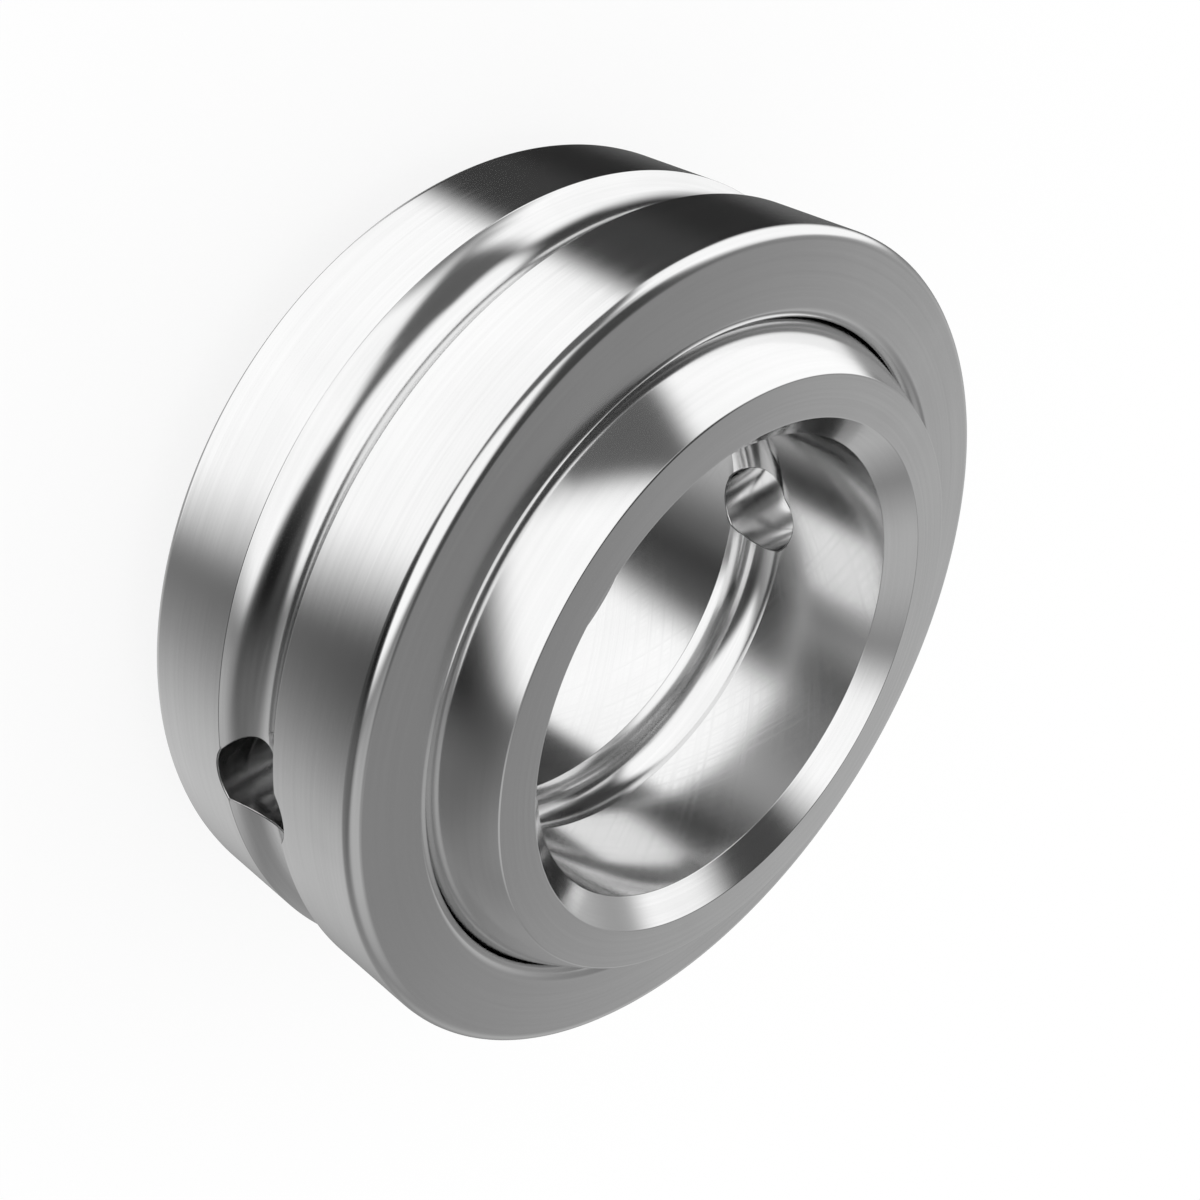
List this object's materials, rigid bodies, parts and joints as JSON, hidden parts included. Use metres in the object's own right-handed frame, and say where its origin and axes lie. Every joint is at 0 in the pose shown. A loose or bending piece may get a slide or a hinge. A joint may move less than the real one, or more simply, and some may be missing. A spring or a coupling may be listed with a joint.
{
  "type": "self-aligning bushing",
  "caption": "Spherical plain bearing: a steel ball ring with a bore tilts and turns in a cylindrical outer ring with a grease groove.",
  "frame": {"origin": "centre of the ball, on the bore axis at the middle of both rings' widths", "axes": "+Z along the bore axis, Y through the grease holes"},
  "size_m": [0.035, 0.035, 0.016],
  "materials": {
    "outer_ring_steel": "through-hardened bearing steel, ground and polished",
    "inner_ring_steel": "through-hardened bearing steel, ground, honed and polished"
  },
  "bodies": {
    "outer_ring": {"outer_ring": "outer_ring_steel"},
    "inner_ring": {"inner_ring": "inner_ring_steel"}
  },
  "joints": [
    {"name": "ball_lean", "type": "hinge", "parent": "outer_ring", "child": "inner_ring", "pos_m": [0, 0, 0], "axis": [0, 1, 0], "range_deg": [-8.5, 8.5]}
  ]
}
